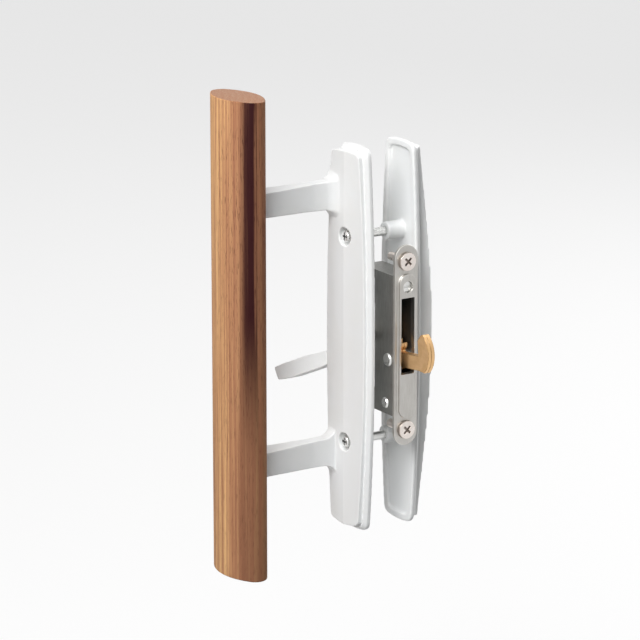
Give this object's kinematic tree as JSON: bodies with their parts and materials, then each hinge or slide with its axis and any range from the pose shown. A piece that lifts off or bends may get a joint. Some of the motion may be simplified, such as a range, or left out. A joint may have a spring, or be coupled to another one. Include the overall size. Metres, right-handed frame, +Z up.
{
  "type": "sliding door handle set",
  "caption": "Sliding door handle set: oval wooden grip on cast arms, thumb lever, mortise lock with a hook that swings out, and an outer plate with a finger pull.",
  "frame": {"origin": "on the room-side face of the door, midway between the two plate screws", "axes": "+X towards the edge of the door that the hook leaves by, +Y from the room through the door to the outside, +Z up"},
  "size_m": [0.0757, 0.1041, 0.229],
  "materials": {
    "white_cast": "satin white paint",
    "grip_wood": "oiled, fine straight grain",
    "plated_screws": "bright zinc plate",
    "lock_steel": "stamped, dull zinc plate",
    "face_stainless": "fine lengthwise brushing",
    "face_screws": "bright nickel plate",
    "hook_brass": "yellow-chromed steel, worn at the edges",
    "spring_steel": "blue tempered"
  },
  "bodies": {
    "fixed": {"interior_plate": "white_cast", "wood_grip": "grip_wood", "grip_screw_upper": "plated_screws", "grip_screw_lower": "plated_screws", "lever_washer": "spring_steel", "lever_keeper": "plated_screws", "keeper_screw_upper": "plated_screws", "keeper_screw_lower": "plated_screws", "plate_screw_upper": "plated_screws", "plate_screw_lower": "plated_screws", "exterior_plate": "white_cast", "lock_case": "lock_steel", "lock_cover": "lock_steel", "lock_face": "face_stainless", "hook_pivot": "plated_screws", "detent_spring": "spring_steel", "case_rivet_upper": "plated_screws", "case_rivet_lower": "plated_screws", "case_rivet_front": "plated_screws", "face_screw_upper": "face_screws", "face_screw_lower": "face_screws"},
    "lever": {"thumb_lever": "white_cast", "lever_spindle": "plated_screws", "lock_hub": "hook_brass"},
    "hook": {"hook_plate_inner": "hook_brass", "hook_plate_outer": "hook_brass"},
    "adjuster": {"adjusting_screw": "plated_screws"}
  },
  "joints": [
    {"name": "lever_turn", "type": "hinge", "parent": "fixed", "child": "lever", "pos_m": [0, 0, 0], "axis": [0, 1, 0], "range_deg": [0, 68.82]},
    {"name": "hook_swing", "type": "hinge", "parent": "fixed", "child": "hook", "pos_m": [0.018, 0.0115, -0.0074], "axis": [0, 1, 0], "range_deg": [-90, 0]},
    {"name": "adjuster_turn", "type": "hinge", "parent": "fixed", "child": "adjuster", "pos_m": [0.026, 0.0115, 0.0286], "axis": [1, 0, 0], "range_deg": [-180, 180]}
  ],
  "couplings": [
    {"joint": "hook_swing", "follows": "lever_turn", "ratio": -1.3077}
  ]
}
